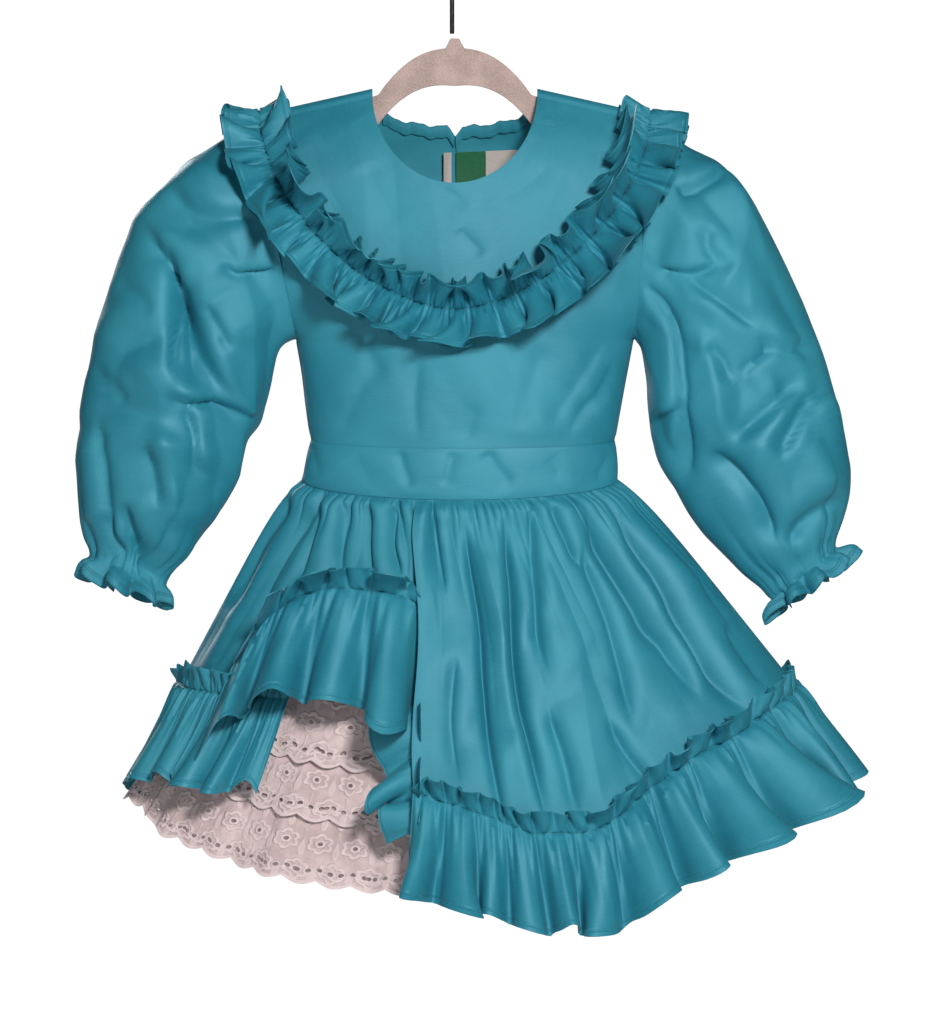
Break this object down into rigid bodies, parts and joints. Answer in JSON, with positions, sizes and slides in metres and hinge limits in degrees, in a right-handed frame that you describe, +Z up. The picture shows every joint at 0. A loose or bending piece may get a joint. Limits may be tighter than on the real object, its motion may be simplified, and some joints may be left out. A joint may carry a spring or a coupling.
{
  "type": "pageant dress on hanger",
  "caption": "Child's long-sleeved pageant dress with ruffled collar, gathered skirt lifted in an arch over a tiered lace petticoat, hanging on a flocked hanger.",
  "frame": {"origin": "where the inside top of the hanger's hook rests on a rod", "axes": "+Z up, the dress's front faces -Y, the wearer's left is +X"},
  "size_m": [0.5774, 0.2901, 0.7245],
  "materials": {
    "taffeta": "crisp changeable taffeta, satin sheen, fine plain weave",
    "lace": "matt embroidered eyelet lace with a scalloped edge",
    "hanger_flock": "velvet flock over plastic",
    "hook_wire": "black coated steel wire",
    "label_green": "woven satin tape, bare",
    "label_white": "printed-label tape, left bare"
  },
  "bodies": {
    "root": {"hanger_body": "hanger_flock", "hanger_hook": "hook_wire", "bodice_front": "taffeta", "bodice_back_right": "taffeta", "bodice_back_left": "taffeta", "neck_binding_right": "taffeta", "neck_binding_left": "taffeta", "sleeve_right": "taffeta", "sleeve_left": "taffeta", "neck_label_green": "label_green", "neck_label_white": "label_white", "neck_label_end": "label_white", "collar_front": "taffeta", "collar_back_right": "taffeta", "collar_back_left": "taffeta", "collar_ruffle_front": "taffeta", "collar_ruffle_back_right": "taffeta", "collar_ruffle_back_left": "taffeta", "waistband_front": "taffeta", "waistband_back_right": "taffeta", "waistband_back_left": "taffeta", "skirt_front": "taffeta", "skirt_front_arch": "taffeta", "skirt_back": "taffeta", "hem_ruffle_front": "taffeta", "hem_ruffle_arch": "taffeta", "hem_ruffle_side": "taffeta", "hem_ruffle_cascade": "taffeta", "hem_ruffle_back": "taffeta", "petticoat_upper": "lace", "petticoat_middle": "lace", "petticoat_lower": "lace"}
  },
  "joints": []
}
